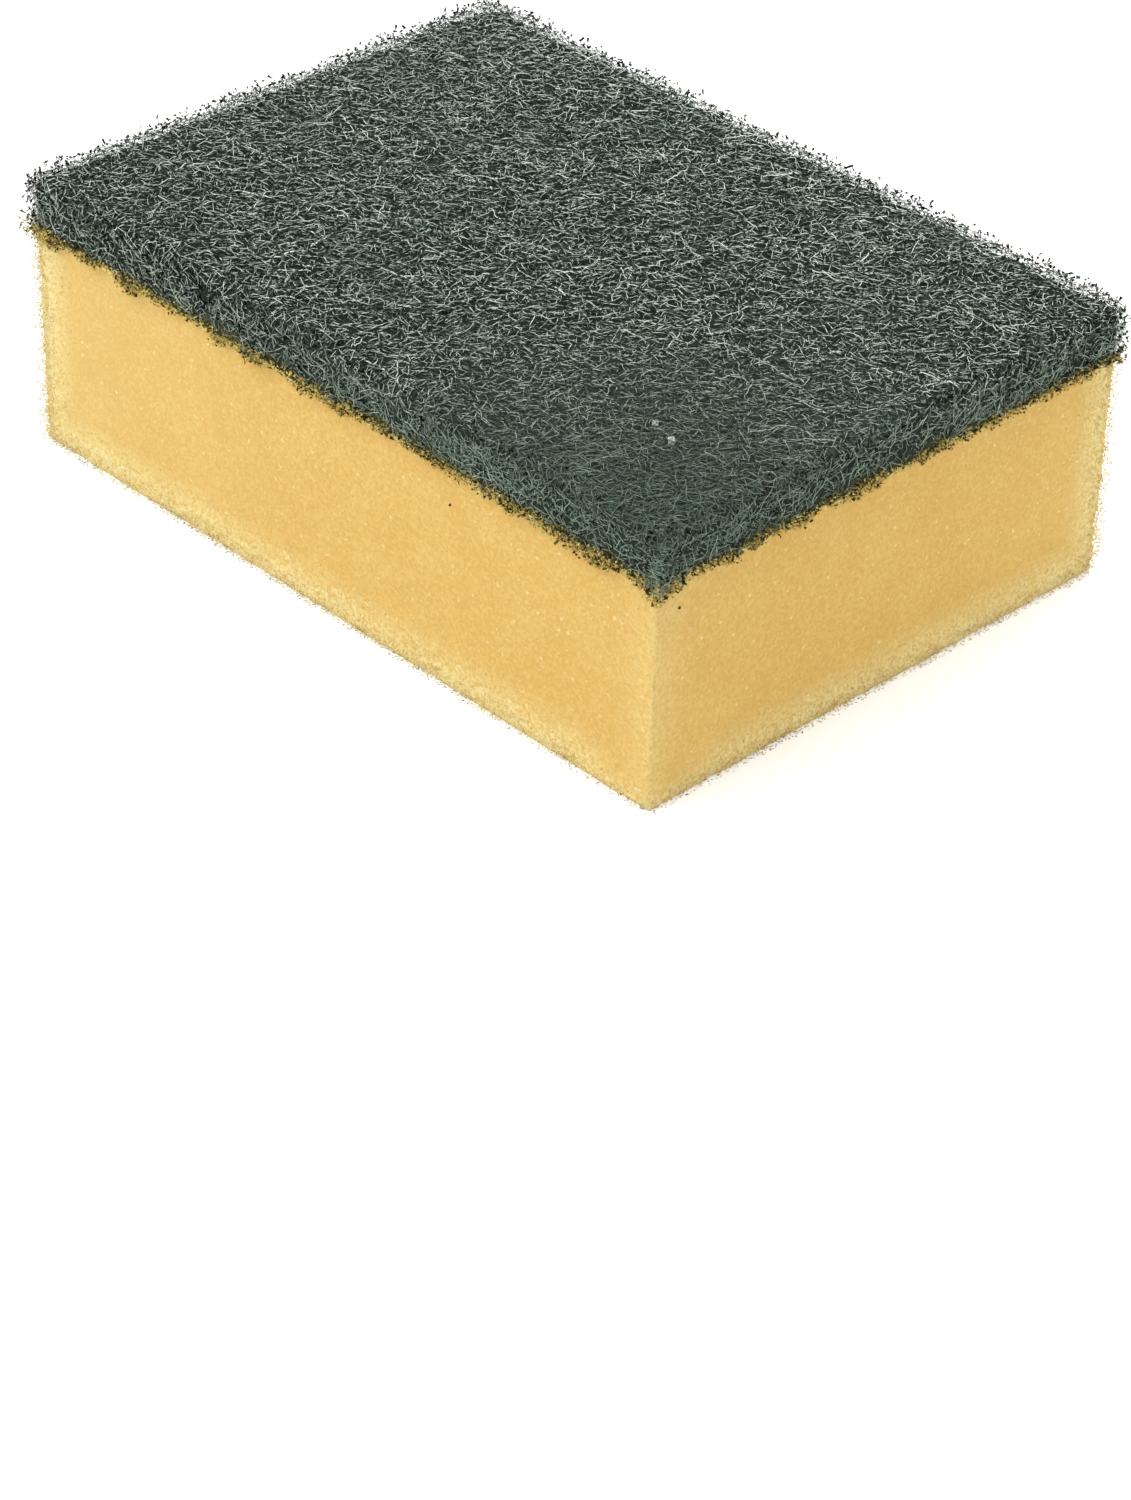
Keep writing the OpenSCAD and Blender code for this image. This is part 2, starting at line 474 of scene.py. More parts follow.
def finish_tubes(g, given, curves, fibre, depth):
    """Gives the curves a three-sided skin, each with its own thickness, shade and square of the map."""
    along = g.geo("SplineParameter")
    held = captured(g, curves, Fibre=fibre, Along=along, Depth=depth)
    corner = g.geo("InputIndex")
    jog = g.maths("SUBTRACT", 1.0, g.maths("ABSOLUTE", g.maths("SUBTRACT", corner, 1.0)))
    ring = g.geo("CurvePrimitiveCircle", Resolution=3, Radius=given["Radius"], mode="RADIUS")
    ring = captured(g, ring, Around=g.times(corner, 0.35), Jog=g.times(jog, 0.1))
    thick = g.random(0.7, 1.25, 6, ID=fibre)
    tube = g.geo(
        "CurveToMesh", Curve=held["Geometry"], Profile_Curve=ring["Geometry"], Scale=thick, Fill_Caps=True
    )
    across = g.maths("ADD", g.times(held["Along"], 0.6), ring["Jog"])
    place = map_cell(g, held["Fibre"], columns(g, curves, "CURVE", "Spline Count"), across, ring["Around"])
    shade = g.random(0.0, 1.0, 7, ID=held["Fibre"])
    finish_tree(g, given, tube, place, shade, held["Depth"])


def columns(g, geometry, component, count):
    """How many squares side by side give each item of the geometry a square of its own on the map."""
    total = g.add("GeometryNodeAttributeDomainSize", geometry, component=component).outputs
    return g.maths("CEIL", g.maths("SQRT", shown(total, count)))


def map_cell(g, item, columns, across, along):
    """A place on the map inside the item's own square, where across and along run from 0 to about 0.7."""
    row = g.maths("FLOOR", g.maths("DIVIDE", item, columns))
    column = g.maths("SUBTRACT", item, g.times(row, columns))
    place = []
    for cell, within in ((column, across), (row, along)):
        place.append(g.maths("DIVIDE", g.maths("ADD", g.maths("ADD", cell, within), MAP_MARGIN), columns))
    return g.combined(*place, 0.0)


def stored(g, geometry, name, value, kind="FLOAT", domain="POINT"):
    return g.geo("StoreNamedAttribute", geometry, Name=name, Value=value, data_type=kind, domain=domain)


def finish_tree(g, given, mesh, place, shade, depth=None, spent=()):
    """Stores the shade, the depth in mm and the map, drops the spent attributes and ends the tree."""
    mesh = stored(g, mesh, "shade", shade)
    if depth is not None:
        mesh = stored(g, mesh, "depth", g.maths("DIVIDE", depth, MM))
    mesh = stored(g, mesh, MAP_NAME, place, "FLOAT2", "CORNER")
    for name in spent:
        mesh = g.geo("RemoveAttribute", mesh, Name=name)
    mesh = g.geo("RealizeInstances", g.geo("SetShadeSmooth", mesh, Shade_Smooth=True))
    g.add("NodeGroupOutput", g.geo("SetMaterial", mesh, Material=given["Material"]))


# ---- Geometry nodes: loose bits ----

BIT_INPUTS = {
    "Geometry": "Skin",
    "Float": "Density, Width, Length, Spread, Lean, Sink, Floor",
    "Int": "Seed",
    "Material": "Material",
}


def bit_tree():
    """Strews three-sided spikes over a skin, by the skin's weight and up to its gap above it."""
    if "loose_bits" in bpy.data.node_groups:
        return bpy.data.node_groups["loose_bits"]
    tree, g, given = begun("loose_bits", BIT_INPUTS)
    scatter = strewn(g, given, Density=g.times(given["Density"], named(g, "weight")))
    # The power crowds the spikes near the skin and leaves few far out.
    share = g.maths("POWER", g.random(0.0, 1.0, 11), 1.5)
    room = g.maths("ADD", named(g, "gap"), given["Sink"])
    lift = g.scaled(scatter["Normal"], g.maths("SUBTRACT", g.times(share, room), given["Sink"]))
    points = g.geo("SetPosition", scatter["Points"], Offset=lift)
    held = captured(g, points, Bit=g.geo("InputIndex"))

    turn = (g.either_way(given["Lean"], 12), 0.0, g.random(0.0, math.tau, 13))
    least = g.maths("SUBTRACT", 1.0, given["Spread"])
    sizes = ((given["Width"], 14), (given["Width"], 15), (given["Length"], 16))
    spike = g.geo(
        "MeshCone", fill_type="NGON",
        Vertices=3, Side_Segments=1, Fill_Segments=1, Radius_Top=0.0, Radius_Bottom=0.5, Depth=1.0,
    )
    local = captured(g, spike, Local=g.geo("InputPosition"))
    placed = g.geo(
        "InstanceOnPoints",
        Points=held["Geometry"],
        Instance=local["Geometry"],
        Rotation=turned(g, scatter["Rotation"], *turn),
        Scale=g.combined(*(g.times(size, g.random(least, 1.0, seed)) for size, seed in sizes)),
    )
    far_down = g.combined(-10.0, -10.0, given["Floor"])
    raised = g.vectors("MAXIMUM", g.geo("InputPosition"), far_down)
    mesh = g.geo("SetPosition", g.geo("RealizeInstances", placed), Position=raised)

    parts = g.parts(local["Local"])
    # The slant keeps faces that stand upright from having no width on the map.
    slanted = [g.line(parts["Z"], slant, parts[axis]) for axis, slant in (("X", 0.45), ("Y", 0.3))]
    flat = [g.line(value, 0.3, 0.35) for value in slanted]
    place = map_cell(g, held["Bit"], columns(g, points, "POINTCLOUD", "Point Count"), *flat)
    shade = g.random(0.0, 1.0, 17, ID=held["Bit"])
    finish_tree(g, given, mesh, place, shade, spent=("weight", "gap", "rim", "torn"))
    return tree


def grown(name, tree, skin, values):
    """A plain mesh piece that the tree grows on the skin."""
    piece = bpy.data.objects.new(name, skin)
    bpy.context.scene.collection.objects.link(piece)
    modifier = piece.modifiers.new("grow", "NODES")
    modifier.node_group = tree
    known = {s.name: s.identifier for s in tree.interface.items_tree if s.in_out == "INPUT"}
    for key, value in values.items():
        modifier[known[key]] = value
    depsgraph = bpy.context.evaluated_depsgraph_get()
    mesh = bpy.data.meshes.new_from_object(
        piece.evaluated_get(depsgraph), preserve_all_data_layers=True, depsgraph=depsgraph
    )
    piece.modifiers.remove(modifier)
    piece.data = mesh
    mesh.name = name
    if not mesh.polygons:
        raise RuntimeError(f"{name} came out with no faces")
    return piece


# ---- Skins ----


def box_skin(low, high, step, closed_top=True, fine=0.0, zone=0.0):
    """Faces about step wide over a box, or fine within the zone along its edges, as places and faces."""
    lines = [grid_lines(low[axis], high[axis], step, fine, zone) for axis in range(3)]
    counts = np.array([len(line) - 1 for line in lines])
    quads = []
    for axis in range(3):
        b, c = (axis + 1) % 3, (axis + 2) % 3
        for side in (0, 1):
            if axis == 2 and side and not closed_top:
                continue
            ib, ic = np.meshgrid(np.arange(counts[b]), np.arange(counts[c]), indexing="ij")
            turn = ((0, 0), (1, 0), (1, 1), (0, 1)) if side else ((0, 0), (0, 1), (1, 1), (1, 0))
            corners = []
            for db, dc in turn:
                spot = np.zeros((ib.size, 3), int)
                spot[:, axis] = side * counts[axis]
                spot[:, b] = ib.ravel() + db
                spot[:, c] = ic.ravel() + dc
                corners.append(spot)
            quads.append(np.stack(corners, 1))
    quads = np.concatenate(quads)
    spots, faces = np.unique(quads.reshape(-1, 3), axis=0, return_inverse=True)
    faces = [tuple(face) for face in faces.reshape(-1, 4).tolist()]
    if not closed_top:
        faces.append(top_ring(spots, counts))
    return np.column_stack([lines[axis][spots[:, axis]] for axis in range(3)]), faces


def grid_lines(low, high, step, fine, zone):
    """Places from low to high, about step apart, or fine within the zone at each end."""
    middle = max(2, round((high - low - 2 * zone) / step))
    lines = np.linspace(low + zone, high - zone, middle + 1)
    if zone:
        ends = np.linspace(0.0, zone, round(zone / fine) + 1)[:-1]
        lines = np.concatenate([low + ends, lines, high - ends[::-1]])
    return lines


def top_ring(spots, counts):
    """The top's rim as one face, anticlockwise from above."""
    found = {(int(x), int(y)): i for i, (x, y, z) in enumerate(spots) if z == counts[2]}
    nx, ny = int(counts[0]), int(counts[1])
    ring = [(x, 0) for x in range(nx)] + [(nx, y) for y in range(ny)]
    ring += [(x, ny) for x in range(nx, 0, -1)] + [(0, y) for y in range(ny, 0, -1)]
    return tuple(found[spot] for spot in ring)


def rounded(places, low, high, radii):
    """The places pulled in round the box's edges by a radius for each axis, and their outward directions."""
    low, high, radii = np.array(low), np.array(high), np.array(radii)
    middle = np.clip(places, low + radii, high - radii)
    out = (places - middle) / radii
    size = np.linalg.norm(out, axis=1, keepdims=True)
    skin = middle + radii * out / np.maximum(size, 1.0)
    out = out / radii
    return skin, out / np.maximum(np.linalg.norm(out, axis=1, keepdims=True), 1e-9)


def lumps(places, size, seed):
    """Smooth noise at each place, from -1 to 1, with lumps about size wide."""
    shift = Vector((seed * 17.3, seed * 5.9, seed * 11.1))
    return np.array([noise.noise(Vector(place) / size + shift) for place in places])


def inside_of(places, low, high):
    """How far each place lies inside the box, from its nearer side along each axis."""
    return np.minimum(places - np.array(low), np.array(high) - places)


def away_from(places, corner):
    """How far each place is from the upright line through a corner."""
    return np.linalg.norm(places[:, :2] - corner, axis=1)


def swell_at(places, corner, size):
    """1 at the upright line through a corner, and less further out, over about size."""
    return np.exp(-((away_from(places, corner) / size) ** 2))


def upright(height):
    return Vector((0.0, 0.0, height))


def mesh_of(name, places, faces, smooth=True):
    mesh = bpy.data.meshes.new(name)
    mesh.from_pydata(places.tolist(), [], faces)
    mesh.polygons.foreach_set("use_smooth", [smooth] * len(mesh.polygons))
    mesh.update()
    return mesh


def places_of(mesh):
    return np.array([v.co for v in mesh.vertices])


def write_values(mesh, name, values):
    attribute = mesh.attributes.get(name) or mesh.attributes.new(name, "FLOAT", "POINT")
    attribute.data.foreach_set("value", np.asarray(values, np.float32))


def read_values(mesh, name):
    values = np.zeros(len(mesh.vertices), np.float32)
    mesh.attributes[name].data.foreach_get("value", values)
    return values


def object_of(mesh, material):
    piece = bpy.data.objects.new(mesh.name, mesh)
    bpy.context.scene.collection.objects.link(piece)
    mesh.materials.append(material)
    return piece


def fasten(piece, slot, *nodes):
    """Puts the piece on the frame and hides the nodes that it stands for. The slot is not used."""
    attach(piece, BODY)
    if nodes:
        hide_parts(*nodes)


# ---- Shader groups ----


def shader_group(name, inputs, outputs, fill):
    """The shader group of that name, made when it is first asked for. fill gives its outputs in order."""
    if name not in bpy.data.node_groups:
        tree = bpy.data.node_groups.new(name, "ShaderNodeTree")
        declare(tree, "INPUT", inputs)
        declare(tree, "OUTPUT", outputs)
        g = Graph(tree)
        g.add("NodeGroupOutput", *fill(g, g.add("NodeGroupInput").outputs))
    return bpy.data.node_groups[name]


def net(g, place, size, warp, width):
    """A net of strands or cell walls: its strands as a mask, its height, and a tone for each cell."""
    inputs = {"Vector": "Vector", "Float": "Size, Warp, Width"}
    tree = shader_group("net", inputs, {"Float": "Strand, Height, Tone"}, fill_net)
    return g.add("ShaderNodeGroup", Vector=place, Size=size, Warp=warp, Width=width, node_tree=tree).outputs


def fill_net(g, given):
    stray = g.vectors("SUBTRACT", g.noise(given["Vector"], given["Size"], 1.0, "Color"), (0.5, 0.5, 0.5))
    place = g.vectors("ADD", given["Vector"], g.scaled(stray, g.times(given["Warp"], given["Size"])))
    scale = g.maths("DIVIDE", 1.0, given["Size"])
    edge = g.add("ShaderNodeTexVoronoi", Vector=place, Scale=scale, feature="DISTANCE_TO_EDGE").outputs
    cell = g.add("ShaderNodeTexVoronoi", Vector=place, Scale=scale, feature="F1").outputs
    strand = g.ramped(edge["Distance"], 0.0, given["Width"], 1.0, 0.0)
    height = g.maths("SUBTRACT", strand, g.times(cell["Distance"], 0.25))
    return strand, height, g.first("ShaderNodeSeparateColor", cell["Color"])


RUN_HEIGHT = 1.6 * MM  # how high melt runs up the pad
RUN_STRAY = 1.5 * MM  # how far that height strays


def run_up(g, place, strength=1.0):
    """How far melt has run up the pad's foot, from 0 to 1, more in some places than in others."""
    tree = shader_group("run_up", {"Vector": "Vector", "Float": "Strength"}, {"Float": "Mask"}, fill_run_up)
    return g.first("ShaderNodeGroup", Vector=place, Strength=strength, node_tree=tree)


def fill_run_up(g, given):
    place = given["Vector"]
    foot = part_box("scouring_pad")[0].z
    blots = g.noise(place, 2.5 * MM, 2.0)
    height = g.line(g.maths("SUBTRACT", blots, 0.5), -2 * RUN_STRAY, g.parts(place)["Z"])
    most = g.ramped(away_from_front(g, place), 7 * MM, 10 * MM, 0.2, 0.85)
    return (g.times(most, g.ramped(height, foot, foot + RUN_HEIGHT, 1.0, 0.0), given["Strength"]),)


SIDE_DEPTHS = (3 * MM, 1 * MM)  # between these depths under the top the cut sides end


def at_side(g, place, on_top):
    """1 on the pad's sides, and less over its rim, down to a given number on its top."""
    tree = shader_group("pad_side", {"Vector": "Vector", "Float": "On Top"}, {"Float": "Mask"}, fill_side)
    return g.first("ShaderNodeGroup", Vector=place, On_Top=on_top, node_tree=tree)


def fill_side(g, given):
    low, high = (CAD_BOUNDS[1].z - depth for depth in SIDE_DEPTHS)
    return (g.ramped(g.parts(given["Vector"])["Z"], low, high, 1.0, given["On Top"]),)


def material(name, roughness, specular):
    """A new material, its graph, its shader and the object's own coordinates."""
    made = bpy.data.materials.new(name)
    made.use_nodes = True
    made.node_tree.nodes.clear()
    g = Graph(made.node_tree)
    shader = g.add("ShaderNodeBsdfPrincipled", Roughness=roughness, Specular_IOR_Level=specular)
    g.add("ShaderNodeOutputMaterial", Surface=shader.outputs[0])
    return made, g, shader, g.add("ShaderNodeTexCoord").outputs["Object"]


def coated(g, shader, base, *coats):
    g.feed(shader, "Base Color", g.layered(base, *coats))


def bumped(g, shader, height, strength, distance):
    bump = g.first("ShaderNodeBump", Height=height, Strength=strength, Distance=distance)
    g.feed(shader, "Normal", bump)


def attribute(g, name):
    return g.add("ShaderNodeAttribute", attribute_name=name, attribute_type="GEOMETRY").outputs["Fac"]


# Painted shade darkens the fibres of the pad's two looser back sides, up to a share of the dark colour.
BACK_DEPTHS = (0.2 * MM, 1.3 * MM)  # between these depths the looser back sides end
BACK_SHADE_SHARE = 0.7


def shade_at_back(g, place):
    """Painted shade: where the pad's two looser back sides are darkened, up to their share."""
    low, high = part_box("scouring_pad")
    parts = g.parts(place)
    from_left, from_back = g.maths("SUBTRACT", parts["X"], low.x), g.maths("SUBTRACT", high.y, parts["Y"])
    inside = g.maths("MINIMUM", from_left, from_back)
    return g.ramped(inside, *BACK_DEPTHS, BACK_SHADE_SHARE, 0.0)


def away_from_front(g, place):
    """The distance from the pad's top front corner."""
    corner = (CAD_BOUNDS[1].x, CAD_BOUNDS[0].y, CAD_BOUNDS[1].z)
    return g.vectors("LENGTH", g.vectors("SUBTRACT", place, corner))


# ---- Materials ----


def foam_material(foam):
    """Open-cell foam: fine cells, painted shade in some of them and painted glints on a few, and pale sawn
    edges, a painted glow of light through the thin foam.
    """
    made, g, shader, place = material("foam", 0.85, 0.25)
    cells = net(g, place, foam.cell, 0.6, 0.16)
    tone, torn = cells["Tone"], attribute(g, "torn")
    # Painted light: the pale strip along the sawn edges, strongest where they are torn, stands for light
    # shining through the thin foam; flecks break it up.
    rim = g.line(torn, 0.65, g.times(attribute(g, "rim"), 0.35))
    flecks = g.ramped(g.noise(place, 0.45 * MM, 1.0), 0.38, 0.6, 0.35, 1.3)
    # The foam turns paler away from the front corner.
    paler_far_off = g.ramped(away_from_front(g, place), 50 * MM, 105 * MM, 0.0, 0.2)
    # Painted glints: more and more of the cells take the glint colour towards a torn edge.
    least = g.line(g.maths("POWER", torn, 3.0), -0.5, 0.985)
    coated(
        g, shader, foam.body,
        (g.ramped(g.noise(place, 8 * MM, 2.0), 0.3, 0.7, 0.0, 0.25), foam.hollow),
        # Painted shade and light on single cells, at random: darker cells stand for the shade deep in the
        # open cells, paler ones for light on their walls.
        (g.ramped(tone, 0.0, 0.6, 0.45, 0.0), foam.hollow),
        (g.ramped(tone, 0.6, 1.0, 0.0, 0.2), foam.pale),
        (g.maths("ADD", g.times(rim, flecks), paler_far_off), foam.pale),
        (g.ramped(g.maths("SUBTRACT", tone, least), 0.0, 0.02, 0.0, 0.65), foam.glint),
    )
    bumped(g, shader, cells["Height"], 0.4, 0.1 * MM)
    return made


def wall_material(foam):
    """Cut walls: thin, pale and a little glossy, each at random between the strut colour and the painted
    highlight of the glint colour.
    """
    made, g, shader, _ = material("foam_walls", 0.6, 0.3)
    coated(g, shader, foam.strut, (attribute(g, "shade"), foam.glint))
    return made


def melt_material(bond):
    """Melted foam between fibres: amber where thick, straw where thin and olive in the gaps."""
    made, g, shader, place = material("melt", 0.5, 0.3)
    tone = g.line(g.noise(place, 0.9 * MM, 1.0), 1.4, g.line(attribute(g, "shade"), 0.6, -0.5))
    cells = net(g, place, 0.5 * MM, 0.8, 0.3)
    coated(
        g, shader, bond.olive,
        (g.ramped(tone, 0.3, 0.42), bond.amber),
        (g.ramped(tone, 0.6, 0.95), bond.straw),
        (g.times(cells["Strand"], 0.35), bond.olive),
    )
    bumped(g, shader, cells["Height"], 0.5, 0.1 * MM)
    return made


def core_material(web):
    """The web's dense inside, seen between the fibres: near-black as painted shade of the deep web, with dim
    strands, and paler on the sides as painted light.
    """
    made, g, shader, place = material("web_core", 0.9, 0.05)
    coarse = net(g, place, 0.7 * MM, 1.8, 0.13)["Strand"]
    fine = net(g, place, 0.4 * MM, 1.6, 0.2)["Strand"]
    strand = g.maths("MAXIMUM", coarse, g.times(fine, 0.6))
    side = at_side(g, place, 0.7)
    coated(
        g, shader, web.dark,
        # Painted light: the core turns paler, and its strands show more, on the pad's sides than on its top,
        # most of all near the front corner.
        (g.times(side, g.ramped(away_from_front(g, place), 20 * MM, 70 * MM, 0.5, 0.1)), web.middle),
        (g.times(strand, side), web.middle),
        (run_up(g, place, 0.5), web.stained),
    )
    bumped(g, shader, strand, 0.8, 0.2 * MM)
    return made


def fibre_material(web):
    """Resin-coated fibres, each of its own shade, with painted light and shade: paler where it comes up and
    dark where it goes down, paler on the cut sides and darker on the back sides.
    """
    if "web_fibres" in bpy.data.materials:
        return bpy.data.materials["web_fibres"]
    made, g, shader, place = material("web_fibres", 0.6, 0.08)
    depth, side, away = attribute(g, "depth"), at_side(g, place, 0.0), away_from_front(g, place)
    # The tone is painted light and shade: paler near the face, darker deeper down and darker again where a
    # fibre stands out above the face; the noise gives short paler runs, painted highlights, along the fibres.
    # Each fibre's own shade is a random tone.
    tone = g.times(
        g.ramped(depth, 0.8, -0.05),
        g.ramped(depth, -0.3, -0.05, 0.4, 1.0),
        g.line(attribute(g, "shade"), 0.55, 0.65),
        g.ramped(g.noise(place, 0.36 * MM, 1.0), 0.32, 0.62, 0.5, 1.2),
        # Painted light: fibres on the pad's sides are brighter.
        g.line(side, 0.4, 1.0),
    )
    blots = g.noise(place, 1.8 * MM, 2.0)
    matted = g.layered(
        web.matted,
        (g.ramped(blots, 0.45, 0.75, 0.0, 0.55), web.teal),
        (g.ramped(blots, 0.25, 0.42, 0.6, 0.0), web.middle),
    )
    coated(
        g, shader, web.dark,
        (g.ramped(tone, 0.0, 0.45), web.middle),
        (g.ramped(tone, 0.4, 0.95), web.light),
        (g.ramped(g.noise(place, 9 * MM, 2.0), 0.5, 0.7, 0.0, 0.25), web.teal),
        (g.ramped(away, 6 * MM, 50 * MM, 0.85, 0.0), matted),
        # Painted light: the pale cut colour on the sides, strongest near the front corner.
        (g.times(side, g.ramped(away, 20 * MM, 95 * MM, 0.8, 0.25)), web.cut),
        # Painted shade on the back sides.
        (shade_at_back(g, place), web.dark),
        (run_up(g, place), web.stained),
    )
    return made


def ends_material(web):
    """Loose fibre ends: dark with painted shade, some of them paler, and more of them paler near the front
    corner as painted light.
    """
    made, g, shader, place = material("web_ends", 0.6, 0.05)
    # Painted light and shade: ends near the front corner turn paler, those further off stay dark.
    paler = g.ramped(away_from_front(g, place), 40 * MM, 70 * MM, 0.45, 0.0)
    tone = g.maths("ADD", attribute(g, "shade"), paler)
    coated(g, shader, web.dark, (g.ramped(tone, 0.6, 1.0), web.matted), (run_up(g, place), web.stained))
    return made


def seam_material(bond, web):
    """Fibre ends at the seam: dark, some of them coated with melt."""
    made, g, shader, place = material("seam_ends", 0.6, 0.05)
    shade = attribute(g, "shade")
    coated(
        g, shader, bond.olive,
        (g.ramped(shade, 0.3, 0.8), web.stained),
        (g.ramped(g.noise(place, 1.2 * MM, 1.0), 0.5, 0.65, 0.0, 0.7), bond.amber),
        (g.ramped(shade, 0.84, 0.88), bond.straw),
    )
    return made


def speck_material(name, first, second):
    """A lump that is mottled with two colours."""
    made, g, shader, place = material(name, 0.6, 0.3)
    blotches = g.ramped(g.noise(place, 0.25 * MM, 2.0), 0.35, 0.65)
    coated(g, shader, first, (blotches, second))
    bumped(g, shader, blotches, 0.4, 0.05 * MM)
    return made


# ---- Operators ----


class SPONGE_OT_foam_block(bpy.types.Operator):
    """Build the foam block with its cut cells"""

    bl_idname = "sponge.foam_block"
    bl_label = "Foam block"

    def execute(self, context):
        foam = context.scene.sponge_foam
        low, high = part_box("foam_block")
        places, faces = box_skin(low, high, foam.step, False, foam.fine, foam.rim_w)
        skin, rim, torn, gap = foam_skin(foam, places, low, high)
        mesh = mesh_of("foam_block_cells", skin, faces)
        write_values(mesh, "rim", rim)
        write_values(mesh, "torn", torn)
        write_values(mesh, "gap", gap)
        piece = object_of(mesh, foam_material(foam))
        fasten(piece, "foam", "foam_block")
        return {"FINISHED"}


def foam_skin(foam, places, low, high):
    """The foam's skin and, for each place, how near a sawn edge is, how torn it is and the room for walls."""
    over = upright(foam.foot_r)  # the top edge lies under the film and stays sharp
    skin, out = rounded(places, low, high + over, (foam.edge_r, foam.edge_r, foam.foot_r))
    draws = np.random.default_rng(11)
    inside = inside_of(places, low, high)
    inside[:, 2] = places[:, 2] - low.z
    near = np.sort(inside, axis=1)[:, 1]  # the second nearest side is the way to the nearest edge
    rim = np.clip(1 - near / foam.rim_w, 0, 1)
    torn = torn_up(places, low, high)
    ruffle = foam.ruffle + foam.torn * rim * torn
    stray = foam.sway * lumps(skin, 14 * MM, 1) + ruffle * draws.normal(size=len(skin)).clip(-2, 2)
    at_top = places[:, 2] > high.z - HAIR
    skin = skin + out * np.where(at_top, 0.0, stray)[:, None]
    skin[:, 2] = np.clip(skin[:, 2], low.z, high.z)
    low, high = np.array(low), np.array(high)
    low[2] += foam.wall_l / 4  # cut walls stay off the floor
    with np.errstate(divide="ignore", invalid="ignore"):
        room = np.where(out > 0, (high - skin) / out, np.where(out < 0, (low - skin) / out, np.inf))
    gap = np.where(at_top, 0.0, np.clip(room.min(axis=1), 0.0, foam.edge_r))
    return skin, rim, rim * torn, gap


CLEAN, CLEAN_FADE = 4 * MM, 6 * MM  # how far the foam is clean from its front edge, and where that ends
FOOT_TORN = 3 * MM  # how far up from the foot the foam is torn


def torn_up(places, low, high):
    """How torn the foam is at each place, from 0 to 1: least along the front edge, which was cut clean."""
    torn = np.clip((away_from(places, (high.x, low.y)) - CLEAN) / CLEAN_FADE, 0.0, 1.0)
    return np.maximum(torn, np.clip(1.0 - (places[:, 2] - low.z) / FOOT_TORN, 0.0, 1.0))


class SPONGE_OT_foam_walls(bpy.types.Operator):
    """Strew the cut walls of cells that stand open along the foam's sawn edges"""

    bl_idname = "sponge.foam_walls"
    bl_label = "Cut walls"

    def execute(self, context):
        foam = context.scene.sponge_foam
        low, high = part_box("foam_block")
        skin = bpy.data.objects["foam_block_cells"].data.copy()
        places = places_of(skin)
        height = places[:, 2]
        bare = (height > high.z - 0.2 * MM) | (height < low.z + 0.05 * MM)
        edge = read_values(skin, "rim") ** 6
        weight = np.where(bare, 0.0, (0.03 + edge) * torn_up(places, low, high))
        write_values(skin, "weight", np.where(edge > 0.0, weight, 0.0))
        write_values(skin, "gap", read_values(skin, "gap") + foam.stray * np.maximum(edge, 0.1))
        values = {
            "Density": foam.walls / MM**2, "Width": foam.wall_w, "Length": foam.wall_l, "Spread": 0.5,
            "Lean": math.pi, "Sink": 0.15 * MM, "Floor": low.z, "Seed": 21, "Material": wall_material(foam),
        }
        fasten(grown("foam_walls", bit_tree(), skin, values), "foam")
        return {"FINISHED"}


class SPONGE_OT_bond_film(bpy.types.Operator):
    """Build the melted film and the beads that show along the seam"""

    bl_idname = "sponge.bond_film"
    bl_label = "Bond film"

    def execute(self, context):
        bond, web = context.scene.sponge_bond, context.scene.sponge_web
        low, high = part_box("bond_film")
        finish = melt_material(bond)
        mesh = film_mesh(bond, low, high)
        write_values(mesh, "shade", 0.5 + lumps(places_of(mesh), 0.6 * MM, 4))
        fasten(object_of(mesh, finish), "bond", "bond_film")

        over = 0.7 * MM
        skin = band_mesh("seam", low - upright(0.2 * MM), high + upright(over), 0.5 * MM)
        hang_down(skin, web, high.z + over)
        places = places_of(skin)
        corner = swell_at(places, (low.x, low.y), 1.2 * MM)
        write_values(skin, "weight", np.clip(0.75 + 1.2 * lumps(places, 2.6 * MM, 5) + corner, 0.3, 1.6))
        write_values(skin, "gap", (0.45 + corner) * MM)
        values = {
            "Density": bond.grains / MM**2, "Width": bond.grain, "Length": bond.grain, "Spread": 0.5,
            "Lean": math.pi, "Sink": 0.4 * MM, "Floor": 0.0, "Seed": 31, "Material": finish,
        }
        fasten(grown("bond_grains", bit_tree(), skin, values), "bond")
        return {"FINISHED"}


def hang_down(skin, web, top):
    """Lets the foot of a skin hang down unevenly, and most at the front corner, where a tuft sits."""
    places = places_of(skin)
    front = (places[:, 0].max(), places[:, 1].min())
    hang = web.droop * lumps(places * (1, 1, 0), 2.6 * MM, 9) + web.tuft * swell_at(places, front, 2.2 * MM)
    places[:, 2] -= hang * np.clip((top - places[:, 2]) / (top - places[:, 2].min()), 0.0, 1.0)
    skin.vertices.foreach_set("co", places.ravel())
    skin.update()


def band_mesh(name, low, high, step):
    """An open band round a box, its faces outwards, for things to be strewn on."""
    places, faces = box_skin(low, high, step, closed_top=False)
    keep = [f for f in faces if len(f) == 4 and np.ptp(places[list(f), 2]) > step / 4]
    return mesh_of(name, places, keep)


